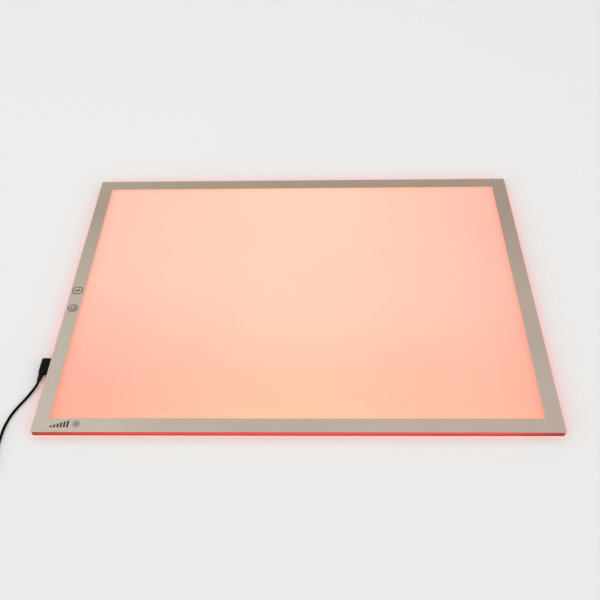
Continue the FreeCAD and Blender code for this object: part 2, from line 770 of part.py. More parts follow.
def rounded_path(corners):
    """Straight runs joined by tangent arcs as large as the runs allow."""
    share = 0.45
    edges = []
    radii = []
    start = corners[0]
    for before, corner, after in zip(corners, corners[1:], corners[2:]):
        back = before - corner
        ahead = after - corner
        half_turn = (math.pi - back.getAngle(ahead)) / 2
        reach = share * min(back.Length, ahead.Length)
        radius = reach / math.tan(half_turn)
        back.normalize()
        ahead.normalize()
        inward = back + ahead
        inward.normalize()
        middle = corner + inward * (radius / math.cos(half_turn) - radius)
        arc_start = corner + back * reach
        arc_end = corner + ahead * reach
        edges.append(Part.LineSegment(start, arc_start).toShape())
        edges.append(Part.Arc(arc_start, middle, arc_end).toShape())
        radii.append(radius)
        start = arc_end
    edges.append(Part.LineSegment(start, corners[-1]).toShape())
    return Part.Wire(edges), radii


def tube(node, corners):
    """A round cord along a route."""
    path, radii = rounded_path(corners)
    radius = number("dims.cord_diameter / 2")
    circle = Part.Circle(corners[0], corners[1] - corners[0], radius)
    section = Part.Wire(circle.toShape())
    shape = path.makePipeShell([section], True, False)
    item = doc.addObject("Part::Feature", f"{node}_tube")
    item.Shape = shape
    piece(node, item)
    ideal = math.pi * radius**2 * path.Length
    print(f"{node}: length {path.Length:.1f}, volume {shape.Volume / ideal:.4f} of section x length")
    print(f"{node}: radii", [round(r, 1) for r in radii], f"lowest {shape.optimalBoundingBox().ZMin:.3f}")
    return path.Length


def flat_lead(node, corners):
    """A flat multi-core lead along a route in the plane of Y and Z."""
    path, radii = rounded_path(corners)
    half_width = number("dims.lead_width / 2")
    half_thick = number("dims.lead_thickness / 2")
    start = corners[0]
    signs = ((-1, -1), (1, -1), (1, 1), (-1, 1), (-1, -1))
    ring_points = [start + Vector(a * half_width, 0, b * half_thick) for a, b in signs]
    section = Part.makePolygon(ring_points)
    item = doc.addObject("Part::Feature", f"{node}_ribbon")
    item.Shape = path.makePipeShell([section], True, False)
    piece(node, item)
    print(f"{node}: radii", [round(r, 1) for r in radii])


def make_internal_leads():
    """Flat leads from the control board's headers to the ends of the two light bars."""
    x = number("dims.lane_x")
    level = number(f"{BOARD_TOP} + dims.header_height / 2")
    pads = number(f"{BAR_BOARD_TOP} + dims.lead_thickness / 2")
    ends = {
        "front": (number("dims.board_front"), -number("dims.bar_low_y + dims.bar_width / 2"), -1),
        "rear": (number("dims.board_rear"), number("dims.bar_low_y + dims.bar_width / 2"), 1),
    }
    for name, (begin, finish, way) in ends.items():
        corners = [
            Vector(x, begin, level),
            Vector(x, begin + way * 8, level),
            Vector(x, finish - way * 8, pads),
            Vector(x, finish, pads),
        ]
        flat_lead(f"led_lead_{name}", corners)


def place_sleeve(body, start, towards):
    """Puts a sleeve's axis on the line from its thick end to its thin end."""
    body.Placement = Placement(start, Rotation(Vector(1, 0, 0), towards - start))


def make_lead():
    """The lead: sleeve at the plug, free cord, tied coil, tail and the sleeve of the far plug."""
    lead = lead_route()
    tail = tail_route()
    away = lead[1] - lead[0]
    away.normalize()
    relief = new_body("plug_strain_relief")
    drawing = sketch(relief, "XY_Plane", "plug_relief_outline")
    relief_outline(drawing, "dims.relief_length", "dims.relief_root_radius", "dims.relief_end_radius")
    revolve(relief, drawing)
    place_sleeve(relief, lead[0] - away * number("dims.relief_length"), lead[0])

    lead_length = tube("cord", lead)
    tail_length = tube("cord_tail", tail)

    coil_x, coil_y = "dims.coil_x", "dims.coil_y"
    span = ("dims.coil_lift", COIL_TOP)
    coil = rod("coil_outer", COIL_OUTER, coil_x, coil_y, span)
    eye = rod("coil_eye", COIL_INNER, coil_x, coil_y, ("dims.coil_lift - 1", f"{COIL_TOP} + 1"))
    piece("cord_coil", cut("coil", coil, [eye]))

    inner = f"({COIL_INNER} - 0.65)"
    outer = f"({COIL_OUTER} + 0.05)"
    side = about(coil_x, "dims.tie_width")
    lift = "dims.coil_lift"
    band_y = (f"{coil_y} + {inner} - {lift}", f"{coil_y} + {outer} + {lift}")
    band = block("tie_band", side, band_y, ("0", f"{COIL_TOP} + {lift}"))
    window_x = about(coil_x, "dims.tie_width + 2")
    window_y = (f"{coil_y} + {inner}", f"{coil_y} + {outer}")
    window = block("tie_window", window_x, window_y, (lift, COIL_TOP))
    piece("cord_tie", cut("tie", band, [window]))

    turns = number("dims.coil_columns * dims.coil_rows")
    last_half = number(f"({COIL_OUTER} - dims.cord_diameter / 2) / 2")
    coiled = 2 * math.pi * (turns * number("dims.coil_mean_radius") - last_half)
    print(f"lead in all: {lead_length + coiled + tail_length:.0f}, {turns - 0.5} turns in the coil")


def make_far_plug():
    """The lead's far end: moulded grip, metal shell, tongue and its four contacts."""
    x, z = "dims.usb_x", "dims.usb_z"
    front = "dims.usb_body_front"
    rear = f"({front} + dims.usb_body_length)"
    tip = f"({rear} + dims.usb_shell_length)"
    body = new_body("usb_plug_body")
    drawing = sketch(body, "XY_Plane", "grip_outline", f"{z} - dims.usb_body_height / 2")
    rounded(drawing, about(x, "dims.usb_body_width"), (front, rear), "dims.usb_corner", "grip")
    grip = pad(body, drawing, "dims.usb_body_height")
    doc.recompute()
    ends = [face_at(grip, "z"), face_at(grip, "z", highest=False)]
    round_edges(body, grip, ends, "dims.usb_edge")

    wall = "dims.usb_shell_wall"
    outer = block(
        "shell_outer", about(x, "dims.usb_shell_width"), (rear, tip), about(z, "dims.usb_shell_height")
    )
    hollow = block(
        "shell_hollow",
        about(x, f"dims.usb_shell_width - 2 * {wall}"),
        (f"{rear} + 0.5", f"{tip} + 1"),
        about(z, f"dims.usb_shell_height - 2 * {wall}"),
    )
    tools = [hollow]
    for k, side in enumerate((-1, 1)):
        place = f"{x} + {side} * 2.4"
        tools.append(block(f"latch_{k}", about(place, "2"), about(f"{tip} - 6", "2"), (z, f"{z} + 4")))
    piece("usb_plug_shell", cut("shell", outer, tools))
    low = f"({z} - dims.usb_shell_height / 2 + {wall})"
    tongue = block(
        "tongue", about(x, f"dims.usb_shell_width - 2 * {wall}"), (f"{rear} + 0.5", f"{tip} - 0.4"),
        (low, f"{low} + 1.8"),
    )
    piece("usb_tongue", tongue)
    strips = []
    for k, place in enumerate((-3.5, -1, 1, 3.5)):
        strip_y = (f"{tip} - 8.4", f"{tip} - 1.2")
        strip_z = (f"{low} + 1.8", f"{low} + 1.95")
        strips.append(block(f"strip_{k}", about(f"{x} + {place}", "1"), strip_y, strip_z))
    piece("usb_contacts", group("contact_set", strips))

    relief = new_body("usb_strain_relief")
    drawing = sketch(relief, "XY_Plane", "usb_relief_outline")
    relief_outline(
        drawing, "dims.usb_relief_length", "dims.usb_relief_root_radius", "dims.usb_relief_end_radius"
    )
    revolve(relief, drawing)
    start = Vector(number(x), number(front), number(z))
    place_sleeve(relief, start, start - Vector(0, number("dims.usb_relief_length"), 0))


make_bezel()
make_side_frame()
make_back_cover()
make_cover_screws()
make_feet()
make_optics()
make_light_bars()
make_control_board()
make_board_parts()
make_touch_keys()
make_socket()
make_internal_leads()
make_plug()
make_lead()
make_far_plug()
doc.recompute()

for item in doc.Objects:
    if "Invalid" in item.State or "Error" in item.State:
        raise RuntimeError(f"{item.Label} did not rebuild: {item.State}")
for node, item in pieces.items():
    if item.Label != node or item.Shape.isNull() or not item.Shape.isValid():
        raise RuntimeError(f"{node} has no valid shape of its own name")
    if not item.Shape.Solids:
        raise RuntimeError(f"{node} holds no solid")
for node, item in pieces.items():
    item.Shape.exportStep(f"parts/{node}.step")
print(f"{len(pieces)} sub-parts written")
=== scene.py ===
import json
import math

import bmesh
import bpy
from mathutils import Matrix, Vector


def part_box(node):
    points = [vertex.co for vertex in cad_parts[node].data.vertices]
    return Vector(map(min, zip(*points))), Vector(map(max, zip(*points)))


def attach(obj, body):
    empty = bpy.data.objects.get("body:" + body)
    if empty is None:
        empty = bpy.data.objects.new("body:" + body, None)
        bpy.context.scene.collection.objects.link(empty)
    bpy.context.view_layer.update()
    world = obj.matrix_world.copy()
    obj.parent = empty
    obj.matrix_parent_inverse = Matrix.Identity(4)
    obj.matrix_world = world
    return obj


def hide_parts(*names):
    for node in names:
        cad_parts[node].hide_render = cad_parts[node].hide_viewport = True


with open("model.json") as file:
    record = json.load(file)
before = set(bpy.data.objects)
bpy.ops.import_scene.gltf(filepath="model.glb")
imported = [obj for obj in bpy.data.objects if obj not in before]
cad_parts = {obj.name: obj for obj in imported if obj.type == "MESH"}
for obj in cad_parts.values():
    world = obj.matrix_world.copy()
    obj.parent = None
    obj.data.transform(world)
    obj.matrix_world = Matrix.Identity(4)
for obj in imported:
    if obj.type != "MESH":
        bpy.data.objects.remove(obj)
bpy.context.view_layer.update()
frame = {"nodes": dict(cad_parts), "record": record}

# A lit drawing panel with its power lead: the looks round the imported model.
# Metres. X runs along the panel, Y away from the user, Z up from the table.

MM = 0.001
nodes = frame["nodes"]
bezel_low, bezel_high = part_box("bezel")
sheet_low, sheet_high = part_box("window_sheet")
rim_low, rim_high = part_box("side_frame")

CORD_DIAMETER = 3.3 * MM
SHEET_HIDDEN = 6.2 * MM  # the border of the lit sheet that lies under the bezel


# ---------------------------------------------------------------- camera


def make_camera():
    """A camera in front of the panel, looking down at it with a little yaw and roll."""
    place = Vector((0.0332, -0.7272, 0.8104))
    yaw, fall, roll = (math.radians(angle) for angle in (-2.559, 48.624, -2.134))
    ahead = Vector((math.sin(yaw) * math.cos(fall), math.cos(yaw) * math.cos(fall), -math.sin(fall)))
    level = Vector((math.cos(yaw), -math.sin(yaw), 0))
    above = level.cross(ahead)
    right = level * math.cos(roll) + above * math.sin(roll)
    up = above * math.cos(roll) - level * math.sin(roll)
    lens = bpy.data.cameras.new("camera")
    lens.lens = 45.53
    lens.sensor_width = 36
    lens.clip_start = 0.01
    lens.clip_end = 60
    camera = bpy.data.objects.new("camera", lens)
    turn = Matrix((right, up, -ahead)).transposed().to_4x4()
    camera.matrix_world = Matrix.Translation(place) @ turn
    bpy.context.scene.collection.objects.link(camera)
    bpy.context.scene.camera = camera


# ---------------------------------------------------------------- the lead


# The free stretch from the plug's sleeve to the coil, and the tail to the far plug, in millimetres
LEAD_ROUTE = [
    (-337.9, -157.8, 4.75),
    (-338.6, -163.2, 4.1),
    (-341.4, -168.6, 3.2),
    (-345.0, -176.2, 2.4),
    (-349.6, -184.5, 1.85),
    (-354.9, -194.0, 1.67),
    (-359.7, -203.3, 1.67),
    (-363.4, -214.5, 1.67),
    (-365.7, -227.5, 1.67),
    (-366.1, -240.5, 1.67),
    (-365.7, -254.5, 1.67),
    (-365.6, -270.0, 1.8),
    (-366.0, -285.0, 2.05),
]
TAIL_ROUTE = [
    (-418.8, -285.0, 5.35),
    (-419.1, -271.0, 4.45),
    (-419.6, -256.0, 3.9),
]


def coil_turns():
    """The tied coil: flat turns inwards on the first row, then outwards on the second."""
    low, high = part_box("cord_coil")
    centre = (low + high) / 2
    outer = (high.x - low.x) / 2 - CORD_DIAMETER / 2
    columns, rows, points = 5, 2, 20
    rings = [(outer - k * CORD_DIAMETER, 0) for k in range(columns)]
    rings += [(radius, 1) for radius, _ in reversed(rings)]
    total = (columns * rows - 0.5) * points
    step_start = 0.8
    track = []
    for k in range(1, int(total)):
        turn, share = divmod(k / points, 1)
        now = rings[int(turn)]
        after = rings[min(int(turn) + 1, len(rings) - 1)]
        move = max(0.0, (share - step_start) / (1 - step_start))
        move = move * move * (3 - 2 * move)
        radius = (now[0] + (after[0] - now[0]) * move) / math.cos(math.pi / points)
        height = low.z + CORD_DIAMETER * (0.5 + now[1] + (after[1] - now[1]) * move)
        angle = -2 * math.pi * k / points
        track.append((centre.x + radius * math.cos(angle), centre.y + radius * math.sin(angle), height))
    return track


def make_lead(material):
    """The whole lead as one smooth line: free stretch, coil and tail."""
    track = [tuple(MM * c for c in point) for point in LEAD_ROUTE]
    track += coil_turns()
    track += [tuple(MM * c for c in point) for point in TAIL_ROUTE]
    line = bpy.data.curves.new("lead", "CURVE")
    line.dimensions = "3D"
    line.bevel_depth = 1
    line.bevel_resolution = 5
    line.use_fill_caps = True
    line.resolution_u = 6
    spline = line.splines.new("NURBS")
    spline.points.add(len(track) - 1)
    for point, place in zip(spline.points, track):
        point.co = (*place, 1)
        point.radius = CORD_DIAMETER / 2
    spline.order_u = 3
    spline.use_endpoint_u = True
    line.materials.append(material)
    lead = bpy.data.objects.new("lead", line)
    bpy.context.scene.collection.objects.link(lead)
    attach(lead, "power_plug")
    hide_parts("cord", "cord_coil", "cord_tail")
    return lead


# ---------------------------------------------------------------- material graphs


class Nodes:
    """A shader node tree, with short calls that add nodes to it and join them."""

    def __init__(self, tree):
        self.tree = tree

    def join(self, value, socket):
        """Links an output to a socket, or sets the socket to a number or colour."""
        if isinstance(value, bpy.types.NodeSocket):
            self.tree.links.new(value, socket)
        elif socket.type == "RGBA":
            socket.default_value = (*value, 1) if isinstance(value, tuple) else (value, value, value, 1)
        else:
            socket.default_value = value

    def set(self, node, **sockets):
        """Joins values to inputs by name, with underscores for spaces."""
        for name, value in sockets.items():
            self.join(value, node.inputs[name.replace("_", " ")])

    def add(self, kind, **sockets):
        node = self.tree.nodes.new(kind)
        self.set(node, **sockets)
        return node

    def math(self, operation, *values):
        node = self.tree.nodes.new("ShaderNodeMath")
        node.operation = operation
        for socket, value in zip(node.inputs, values):
            self.join(value, socket)
        return node.outputs[0]

    def ramp(self, value, stops):
        """A colour or grey for each position: stops of (position, colour)."""
        node = self.add("ShaderNodeValToRGB", Fac=value)
        elements = node.color_ramp.elements
        while len(elements) < len(stops):
            elements.new(1)
        for element, (position, colour) in zip(elements, stops):
            element.position = position
            element.color = (*colour, 1) if isinstance(colour, tuple) else (colour, colour, colour, 1)
        return node.outputs[0]


class Graph(Nodes):
    """A material with one shader."""

    def __init__(self, name, **sockets):
        self.material = bpy.data.materials.new(name)
        self.material.use_nodes = True
        super().__init__(self.material.node_tree)
        self.shader = self.tree.nodes["Principled BSDF"]
        self.set(self.shader, **sockets)

    def surface(self, **sockets):
        self.set(self.shader, **sockets)

    def place(self):
        """Object coordinates, in metres."""
        return self.add("ShaderNodeTexCoord").outputs["Object"]

    def axes(self):
        """The three object coordinates as separate values."""
        return self.add("ShaderNodeSeparateXYZ", Vector=self.place()).outputs

    def noise(self, size, detail=3.0, stretch=(1, 1, 1)):
        """Noise with features of the given size in metres, drawn out along some axes."""
        scale = tuple(1 / (size * share) for share in stretch)
        where = self.add("ShaderNodeMapping", Vector=self.place(), Scale=scale).outputs[0]
        return self.add("ShaderNodeTexNoise", Vector=where, Scale=1.0, Detail=detail).outputs[0]

    def span(self, value, low, high, start=0.0, end=1.0, kind="LINEAR"):
        """Maps low..high to start..end."""
        node = self.add("ShaderNodeMapRange", Value=value)
        node.interpolation_type = kind
        for name, number in (("From Min", low), ("From Max", high), ("To Min", start), ("To Max", end)):
            node.inputs[name].default_value = number
        return node.outputs[0]

    def mix(self, factor, first, second, blend="MIX"):
        node = self.tree.nodes.new("ShaderNodeMix")
        node.data_type = "RGBA"
        node.blend_type = blend
        for socket, value in zip((node.inputs[0], node.inputs[6], node.inputs[7]), (factor, first, second)):
            self.join(value, socket)
        return node.outputs[2]

    def bump(self, height, strength, distance):
        made = self.add("ShaderNodeBump", Height=height, Strength=strength, Distance=distance)
        self.surface(Normal=made.outputs[0])


def moulded(name, colour, roughness=0.5, spread=0.12, grain=0.4 * MM, depth=0.03 * MM, **sockets):
    """A surface with fine grain and slight changes of tone and gloss."""
    graph = Graph(name, **sockets)
    broad = graph.noise(40 * MM, detail=4)
    fine = graph.noise(grain, detail=2)
    tone = graph.math("ADD", graph.math("MULTIPLY", broad, 0.7), graph.math("MULTIPLY", fine, 0.3))
    dark = tuple(c * (1 - spread) for c in colour)
    light = tuple(min(1.0, c * (1 + spread)) for c in colour)
    graph.surface(
        Base_Color=graph.ramp(tone, [(0.35, dark), (0.65, light)]),
        Roughness=graph.span(fine, 0.3, 0.7, roughness * 0.88, min(1.0, roughness * 1.12)),
    )
    graph.bump(fine, 0.4, depth)
    return graph.material


def metal(name, colour, roughness=0.3, stretch=(1, 1, 1), grain=0.25 * MM):
    """Bare metal with fine rolling or turning marks."""
    graph = Graph(name, Metallic=1.0)
    marks = graph.noise(grain, detail=3, stretch=stretch)
    cloud = graph.noise(12 * MM, detail=3)
    dark = tuple(c * 0.84 for c in colour)
    graph.surface(
        Base_Color=graph.ramp(cloud, [(0.3, dark), (0.7, colour)]),
        Roughness=graph.span(marks, 0.3, 0.7, roughness * 0.8, roughness * 1.25),
    )
    graph.bump(marks, 0.25, 0.01 * MM)
    return graph.material


# ---------------------------------------------------------------- materials of the panel


def edge_gaps(graph, high):
    """How far a point lies inside the panel's short ends and inside its long sides."""
    x, y = graph.axes()[:2]
    end_gap = graph.math("SUBTRACT", high.x, graph.math("ABSOLUTE", x))
    side_gap = graph.math("SUBTRACT", high.y, graph.math("ABSOLUTE", y))
    return end_gap, side_gap


def bezel_material():
    """Satin silver coat with grain along each side, with painted light and shade: lighter towards the user
    and on the left, a painted window glow on the inner cut edges and painted dark red shade on the outer
    ones.
    """
    graph = Graph("satin_silver")
    along = graph.noise(0.3 * MM, stretch=(60, 1, 1))
    across = graph.noise(0.3 * MM, stretch=(1, 60, 1))
    end_gap, side_gap = edge_gaps(graph, bezel_high)
    grain = graph.mix(graph.math("LESS_THAN", end_gap, side_gap), along, across)
    cloud = graph.noise(90 * MM)
    tone = graph.math("ADD", graph.math("MULTIPLY", grain, 0.5), graph.math("MULTIPLY", cloud, 0.5))
    coat = graph.ramp(tone, [(0.32, (0.5, 0.408, 0.337)), (0.68, (0.56, 0.458, 0.38))])
    x, y = graph.axes()[:2]
    # Painted light and shade: the coat is lighter along the near side and darker towards the far side.
    painted_falloff = graph.ramp(graph.span(y, bezel_low.y, bezel_high.y), [
        (0.0, (0.97, 0.985, 1.01)), (0.12, (0.955, 0.98, 1.005)), (0.5, (0.875, 0.87, 0.86)),
        (0.85, (0.71, 0.68, 0.653)), (1.0, (0.735, 0.69, 0.657)),
    ])
    # Painted light and painted reflection: the left end is lighter and cooler, the right end a little darker.
    painted_side_light = graph.ramp(graph.span(x, bezel_low.x, bezel_high.x), [
        (0.0, (1.05, 1.1, 1.08)), (0.13, (1.05, 1.09, 1.1)), (0.3, (1.01, 1.0, 1.0)),
        (0.5, (1.01, 0.975, 0.975)), (0.85, (1, 0.965, 0.96)), (1.0, (0.98, 0.975, 0.985)),
    ])
    coat = graph.mix(1.0, graph.mix(1.0, coat, painted_falloff, "MULTIPLY"), painted_side_light, "MULTIPLY")
    facing = graph.add("ShaderNodeNewGeometry").outputs["Normal"]
    upward = graph.add("ShaderNodeSeparateXYZ", Vector=facing).outputs[2]
    cut_edge = graph.math("LESS_THAN", graph.math("ABSOLUTE", upward), 0.5)
    half_border = 5 * MM
    outside = graph.math("LESS_THAN", graph.math("MINIMUM", end_gap, side_gap), half_border)
    # Painted light on the cut edges: the peach glow of the lit window on the inner edges, and painted shade
    # with a painted red reflection of the rim on the outer edges.
    painted_edge_glow_and_shade = graph.mix(outside, (0.95, 0.52, 0.42), (0.06, 0.014, 0.012))
    graph.surface(
        Base_Color=graph.mix(cut_edge, coat, painted_edge_glow_and_shade),
        Metallic=graph.span(cut_edge, 0, 1, 0.6, 0),
        Roughness=graph.span(grain, 0.3, 0.7, 0.46, 0.58),
    )
    graph.bump(grain, 0.12, 0.02 * MM)
    return graph.material


def window_material():
    """The lit sheet: an even peach glow, redder at the ends and towards the user, under a satin gloss."""
    graph = Graph("lit_window", Emission_Strength=1.0)
    x, y = graph.axes()[:2]
    u = graph.span(x, sheet_low.x + SHEET_HIDDEN, sheet_high.x - SHEET_HIDDEN)
    v = graph.span(y, sheet_low.y + SHEET_HIDDEN, sheet_high.y - SHEET_HIDDEN)
    along = graph.ramp(u, [
        (0.0, (0.78, 0.225, 0.12)), (0.006, (0.78, 0.3, 0.19)), (0.012, (0.78, 0.325, 0.214)),
        (0.035, (0.78, 0.357, 0.245)), (0.2, (0.78, 0.395, 0.267)), (0.45, (0.78, 0.428, 0.284)),
        (0.62, (0.78, 0.42, 0.28)), (0.92, (0.78, 0.335, 0.224)), (0.985, (0.78, 0.29, 0.19)),
        (1.0, (0.78, 0.22, 0.13)),
    ])
    across = graph.ramp(v, [
        (0.0, (1, 0.99, 0.66)), (0.028, (1, 0.9, 0.74)), (0.17, (1, 0.885, 0.77)),
        (0.27, (1, 0.92, 0.82)), (0.31, (1, 0.95, 0.88)), (0.5, (1, 1, 1)), (0.97, (1, 1, 1)),
        (0.985, (1, 0.985, 0.88)), (0.991, (1, 0.965, 0.75)), (1.0, (1, 0.94, 0.58)),
    ])
    near_left = graph.math("MULTIPLY", graph.span(u, 0.0, 0.4, 1, 0), graph.span(v, 0.05, 0.55, 1, 0))
    even = graph.mix(1.0, along, across, "MULTIPLY")
    glow = graph.mix(near_left, even, graph.mix(1.0, even, (1, 0.74, 0.74), "MULTIPLY"))
    cloud = graph.noise(160 * MM, detail=2)
    graph.surface(
        Base_Color=graph.ramp(cloud, [(0.3, (0.19, 0.172, 0.167)), (0.7, (0.21, 0.19, 0.185))]),
        Emission_Color=glow,
        Roughness=graph.span(graph.noise(25 * MM), 0.3, 0.7, 0.12, 0.18),
    )
    graph.bump(graph.noise(0.4 * MM, detail=1), 0.04, 0.01 * MM)
    return graph.material


def rim_material():
    """The translucent edge, lit red from inside; most of the light leaves downwards and at the back."""
    graph = Graph("lit_rim", Specular_IOR_Level=0.3)
    end_gap, side_gap = edge_gaps(graph, rim_high)
    axes = graph.axes()
    x, z = axes["X"], axes["Z"]
    facing = graph.add("ShaderNodeNewGeometry").outputs["Normal"]
    toward_x, toward_y, toward_z = graph.add("ShaderNodeSeparateXYZ", Vector=facing).outputs
    ripple = graph.span(graph.noise(70 * MM, detail=2), 0.3, 0.7, 0.93, 1.06)
    front = graph.ramp(graph.span(x, rim_low.x, rim_high.x), [
        (0.0, 0.22), (0.0145, 0.42), (0.022, 0.63), (0.037, 0.42), (0.074, 0.64), (0.13, 0.8), (0.224, 0.85),
        (0.596, 0.92), (0.782, 0.85), (0.876, 0.81), (0.932, 0.65), (0.969, 0.37), (0.9885, 0.28), (1.0, 0.2),
    ])
    height = graph.ramp(graph.span(z, rim_low.z, rim_high.z), [
        (0.0, 0.12), (0.13, 0.15), (0.3, 0.5), (0.42, 0.62), (0.6, 1.0), (0.85, 0.95), (1.0, 0.8),
    ])
    front_light = graph.math("MULTIPLY", graph.math("MULTIPLY", front, height), ripple)
    corner = graph.math("MAXIMUM", end_gap, side_gap)
    fade = graph.math("MULTIPLY", graph.span(corner, 0.0, 20 * MM, 0.35, 1.0, "SMOOTHSTEP"), ripple)
    ends = graph.math("LESS_THAN", 0.5, graph.math("ABSOLUTE", toward_x))
    back_light = graph.math("MULTIPLY", fade, graph.span(ends, 0, 1, 3.2, 1.65))
    side_light = graph.mix(graph.math("LESS_THAN", toward_y, -0.5), back_light, front_light)
    below = graph.math("LESS_THAN", toward_z, -0.5)
    frost = graph.noise(1.5 * MM)
    graph.surface(
        Base_Color=graph.ramp(frost, [(0.3, (0.1, 0.014, 0.012)), (0.7, (0.14, 0.02, 0.018))]),
        Emission_Color=graph.mix(below, (1, 0.035, 0.025), (1, 0.23, 0.14)),
        Emission_Strength=graph.mix(below, side_light, 3.2),
        Roughness=graph.span(graph.noise(3 * MM), 0.3, 0.7, 0.3, 0.42),
    )
    graph.bump(graph.noise(1.1 * MM), 0.15, 0.05 * MM)
    return graph.material


def board_material(name, mask, track):
    """A circuit board: solder mask with slightly raised tracks and plated holes."""
    graph = Graph(name, Roughness=0.35)
    cells = graph.add("ShaderNodeTexBrick", Vector=graph.place(), Scale=1 / (4 * MM), Mortar_Size=0.06)
    cells.offset = 0.5
    holes = graph.add("ShaderNodeTexVoronoi", Vector=graph.place(), Scale=1 / (6 * MM))
    plated = graph.math("LESS_THAN", holes.outputs["Distance"], 0.09)
    lines = cells.outputs["Fac"]
    tracked = graph.mix(lines, mask, track)
    graph.surface(Base_Color=graph.mix(plated, tracked, (0.75, 0.62, 0.36)), Metallic=plated)
    graph.bump(lines, 0.3, 0.03 * MM)
    return graph.material


def ribbon_material():
    """Flat grey lead with a groove between its cores."""
    graph = Graph("grey_ribbon", Roughness=0.5)
    core_pitch = 0.9 * MM
    wave = graph.math("SINE", graph.math("MULTIPLY", graph.axes()["X"], 2 * math.pi / core_pitch))
    stripes = graph.ramp(graph.span(wave, -1, 1), [(0.1, (0.22, 0.22, 0.23)), (0.6, (0.42, 0.42, 0.43))])
    graph.surface(Base_Color=stripes)
    graph.bump(wave, 0.5, 0.1 * MM)
    return graph.material


def guide_material():
    """Clear acrylic with a faint grid of light-scattering dots on its back."""
    graph = Graph("clear_guide", IOR=1.49, Transmission_Weight=0.6)
    dots = graph.add("ShaderNodeTexVoronoi", Vector=graph.place(), Scale=1 / (1.6 * MM), Randomness=0.0)
    spot = graph.span(dots.outputs["Distance"], 0.18, 0.26, 1, 0)
    graph.surface(
        Base_Color=graph.mix(spot, (0.9, 0.93, 0.92), (0.97, 0.97, 0.97)),
        Roughness=graph.span(spot, 0, 1, 0.05, 0.6),
    )
    return graph.material


def emitter_material():
    """White emitter housings, each with a small lit face."""
    graph = Graph("emitters", Emission_Strength=1.0, Roughness=0.4)
    lit_face, soft = 227 * MM, 0.1 * MM
    out = graph.math("ABSOLUTE", graph.axes()["Y"])
    glow = graph.span(out, lit_face - soft, lit_face + soft, 1, 0)
    graph.surface(
        Base_Color=graph.ramp(graph.noise(2 * MM), [(0.3, (0.8, 0.78, 0.72)), (0.7, (0.86, 0.84, 0.78))]),
        Emission_Color=graph.mix(glow, (0, 0, 0), (0.9, 0.25, 0.14)),
    )
    return graph.material


def tie_material():
    """Black hook-and-loop band: a fuzzy weave of short loops."""
    graph = Graph("loop_band", Roughness=0.95, Sheen_Weight=0.35, Sheen_Roughness=0.5, Specular_IOR_Level=0.1)
    loops = graph.add("ShaderNodeTexVoronoi", Vector=graph.place(), Scale=1 / (0.45 * MM)).outputs["Distance"]
    fuzz = graph.noise(0.2 * MM)
    tone = graph.math("MULTIPLY", loops, fuzz)
    graph.surface(Base_Color=graph.ramp(tone, [(0.05, (0.006, 0.006, 0.006)), (0.4, (0.03, 0.03, 0.031))]))
    graph.bump(loops, 0.8, 0.12 * MM)
    return graph.material


def cord_material():
    """Black flexible vinyl, faintly ribbed by its strands."""
    graph = Graph("black_cord", Specular_IOR_Level=0.012)
    skin = graph.noise(0.5 * MM, detail=2)
    cloud = graph.noise(18 * MM)
    graph.surface(
        Base_Color=graph.ramp(cloud, [(0.3, (0.002, 0.002, 0.002)), (0.7, (0.0035, 0.0035, 0.0033))]),
        Roughness=graph.span(skin, 0.3, 0.7, 0.42, 0.55),
    )
    graph.bump(skin, 0.25, 0.03 * MM)
    return graph.material


def dress_nodes(black):
    """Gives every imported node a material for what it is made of."""
    white_film = moulded("white_film", (0.86, 0.86, 0.84), roughness=0.55, spread=0.03)
    adhesive = moulded("black_tape", (0.02, 0.02, 0.02), roughness=0.7, spread=0.3, grain=0.6 * MM)
    chip = moulded("black_epoxy", (0.02, 0.02, 0.021), roughness=0.6, grain=0.15 * MM)
    contact = metal("plated_contact", (0.72, 0.7, 0.66), roughness=0.22)
    nylon = moulded("cream_nylon", (0.74, 0.69, 0.58), roughness=0.45, spread=0.05)
    finish = {
        "bezel": bezel_material(),
        "window": window_material(),
        "rim": rim_material(),
        "optics": guide_material(),
        "white_film": white_film,
        "cover": moulded("dark_coated_steel", (0.035, 0.03, 0.028), roughness=0.6, spread=0.2, grain=0.7 * MM,
                         depth=0.06 * MM),
        "adhesive": adhesive,
        "screw": metal("zinc_screw", (0.6, 0.6, 0.6), roughness=0.35),
        "foot": moulded("rubber", (0.016, 0.016, 0.016), roughness=0.85, spread=0.25),
        "heat_metal": metal("rolled_aluminium", (0.8, 0.8, 0.81), roughness=0.35, stretch=(40, 1, 1)),
        "white_board": board_material("white_board", (0.8, 0.8, 0.77), (0.7, 0.7, 0.66)),
        "green_board": board_material("green_board", (0.012, 0.11, 0.04), (0.02, 0.19, 0.07)),
        "emitter": emitter_material(),
        "chip": chip,
        "ferrite": moulded("ferrite", (0.035, 0.035, 0.037), roughness=0.75, spread=0.25),
        "can": metal("can_aluminium", (0.78, 0.78, 0.8), roughness=0.28, stretch=(1, 1, 12)),
        "header": nylon,
        "inner_lead": ribbon_material(),
        "foil": metal("copper_foil", (0.86, 0.5, 0.32), roughness=0.35),
        "foam": moulded("conductive_foam", (0.045, 0.045, 0.047), roughness=0.95, spread=0.4, grain=0.5 * MM,
                        depth=0.3 * MM),
        "socket": moulded("socket_nylon", (0.014, 0.014, 0.014), roughness=0.45),
        "contact_metal": contact,
        "spring_metal": metal("spring_bronze", (0.74, 0.6, 0.42), roughness=0.3, stretch=(10, 1, 1)),
        "plug": black,
        "cord": black,
        "tie": black,
        "shell": metal("nickel_shell", (0.74, 0.73, 0.71), roughness=0.24, stretch=(1, 20, 1)),
        "tongue": moulded("white_tongue", (0.75, 0.75, 0.72), roughness=0.4, spread=0.05),
        "gold": metal("gold_plate", (1.0, 0.74, 0.36), roughness=0.2, stretch=(1, 20, 1)),
    }
    for part in frame["record"]["subparts"]:
        node = nodes[part["node"]]
        for holder in node.material_slots:
            holder.material = finish[part["material_slot"]]
    return finish


# ---------------------------------------------------------------- mesh building


